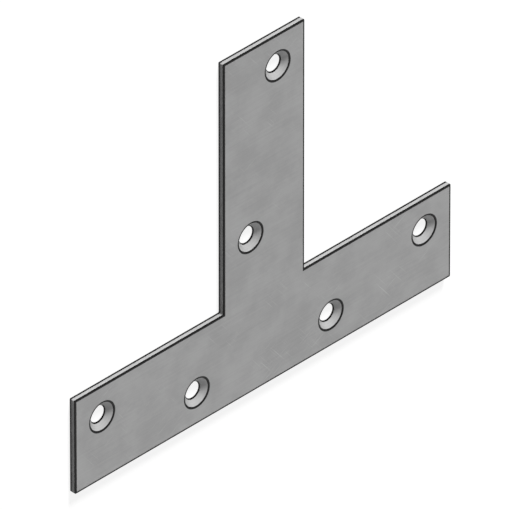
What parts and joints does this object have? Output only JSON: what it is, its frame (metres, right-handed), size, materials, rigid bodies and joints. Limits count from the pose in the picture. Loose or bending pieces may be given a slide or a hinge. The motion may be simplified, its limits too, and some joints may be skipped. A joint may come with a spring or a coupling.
{
  "type": "extrusion joining plate",
  "caption": "Flat T-shaped steel joining plate with staggered countersunk screw holes, for tying framing extrusions together at a tee.",
  "frame": {"origin": "on the back face, where the centre lines of the bar and the stem cross", "axes": "+X along the bar, +Y up the stem, +Z out of the countersunk front face; the plate lies on its back face"},
  "size_m": [0.14, 0.11, 0.002],
  "materials": {
    "plate_steel": "satin"
  },
  "bodies": {
    "root": {"joining_plate": "plate_steel"}
  },
  "joints": []
}
